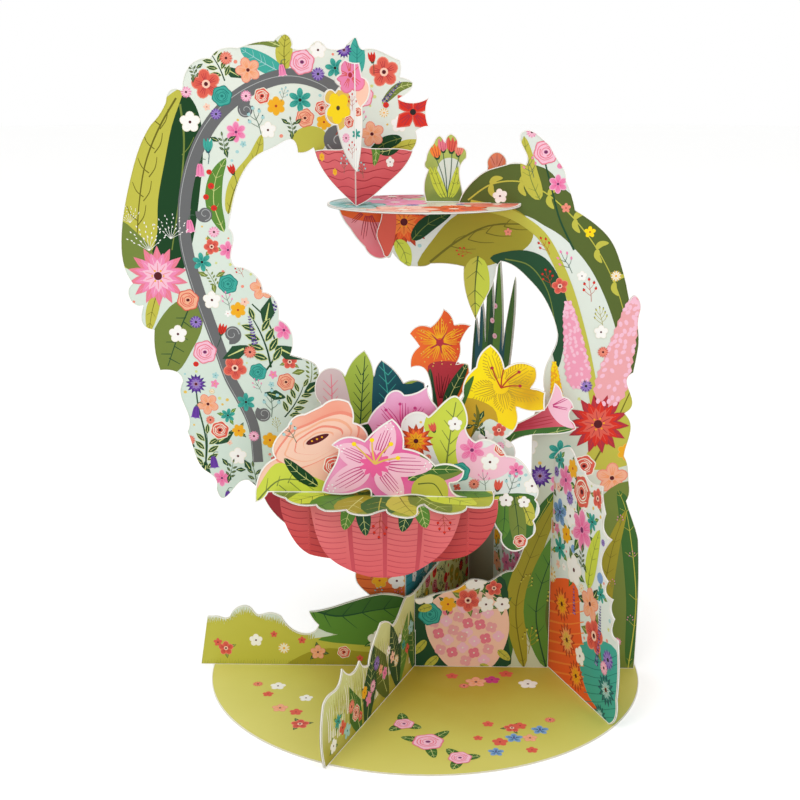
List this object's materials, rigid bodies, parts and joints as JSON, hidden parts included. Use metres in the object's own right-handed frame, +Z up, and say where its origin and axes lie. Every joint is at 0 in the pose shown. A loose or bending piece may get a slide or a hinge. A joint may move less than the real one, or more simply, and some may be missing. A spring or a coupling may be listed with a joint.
{
  "type": "pop up card",
  "caption": "Free-standing pop-up greeting card of die-cut printed card: half-round base, flower arch, wreath, hanging flower basket and a small basket on a round top plate.",
  "frame": {"origin": "centre of the base's half-round edge, on its underside, below the main standing panel", "axes": "+Z up; front faces -Y; +X to the right as seen from the front"},
  "size_m": [0.1885, 0.1502, 0.2315],
  "materials": {
    "base_card": "smooth uncoated printed card",
    "panel_card": "smooth uncoated printed card",
    "bowl_card": "smooth uncoated printed card",
    "leaf_card": "smooth uncoated printed card",
    "flower_card": "smooth uncoated printed card"
  },
  "bodies": {
    "root": {"base_sheet": "base_card", "back_panel": "panel_card", "ring_panel": "panel_card", "left_fin": "panel_card", "right_fin": "panel_card", "rear_spine": "panel_card", "platform": "panel_card", "bowl_front": "bowl_card", "bowl_wings": "bowl_card", "small_cone": "bowl_card", "pot_pedestal": "bowl_card", "leaf_collar": "leaf_card", "rear_leaves": "leaf_card", "tulip_tuft": "leaf_card", "small_tuft": "leaf_card", "pink_lily": "flower_card", "peach_bloom": "flower_card", "blossom_spray": "flower_card", "rose_mallow": "flower_card", "yellow_lily": "flower_card", "pink_trumpet": "flower_card", "orange_trumpet": "flower_card", "under_petals": "flower_card", "cross_spray": "flower_card"}
  },
  "joints": []
}
